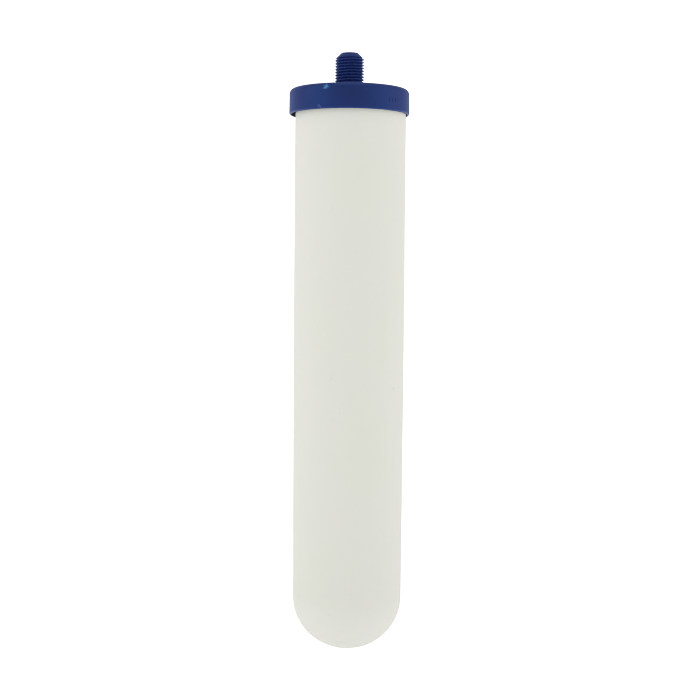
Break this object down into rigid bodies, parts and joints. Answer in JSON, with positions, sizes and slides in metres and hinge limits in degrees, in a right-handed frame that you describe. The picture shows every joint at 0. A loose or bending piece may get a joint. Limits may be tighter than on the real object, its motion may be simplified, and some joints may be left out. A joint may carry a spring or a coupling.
{
  "type": "ceramic water filter candle",
  "caption": "Dome-ended white ceramic filter candle with a carbon block inside, potted into a blue plastic end cap with a threaded hollow outlet stem and a loose sealing washer.",
  "frame": {"origin": "centre of the end cap's flat top face, on the axis of the threaded stem", "axes": "+Z along the stem, out of the cap, away from the dome"},
  "size_m": [0.0552, 0.0552, 0.2736],
  "materials": {
    "blue_plastic": "satin",
    "ceramic": "matte",
    "adhesive": "satin",
    "silicone": "satin",
    "seal_rubber": "matte",
    "carbon": "matte",
    "white_plastic": "satin",
    "felt": "matte",
    "foam": "matte"
  },
  "bodies": {
    "candle": {"end_cap": "blue_plastic", "ceramic_shell": "ceramic", "potting_ring": "adhesive", "carbon_block": "carbon", "block_wrap": "felt", "block_outlet_cap": "white_plastic", "outlet_glue": "adhesive", "spigot_o_ring_upper": "seal_rubber", "spigot_o_ring_lower": "seal_rubber", "block_end_plug": "white_plastic", "end_plug_glue": "adhesive", "dome_cushion": "foam"},
    "washer": {"sealing_washer": "silicone"}
  },
  "joints": [
    {"name": "washer_lift", "type": "slide", "parent": "candle", "child": "washer", "axis": [0, 0, 1], "range_m": [0, 0.02]}
  ]
}
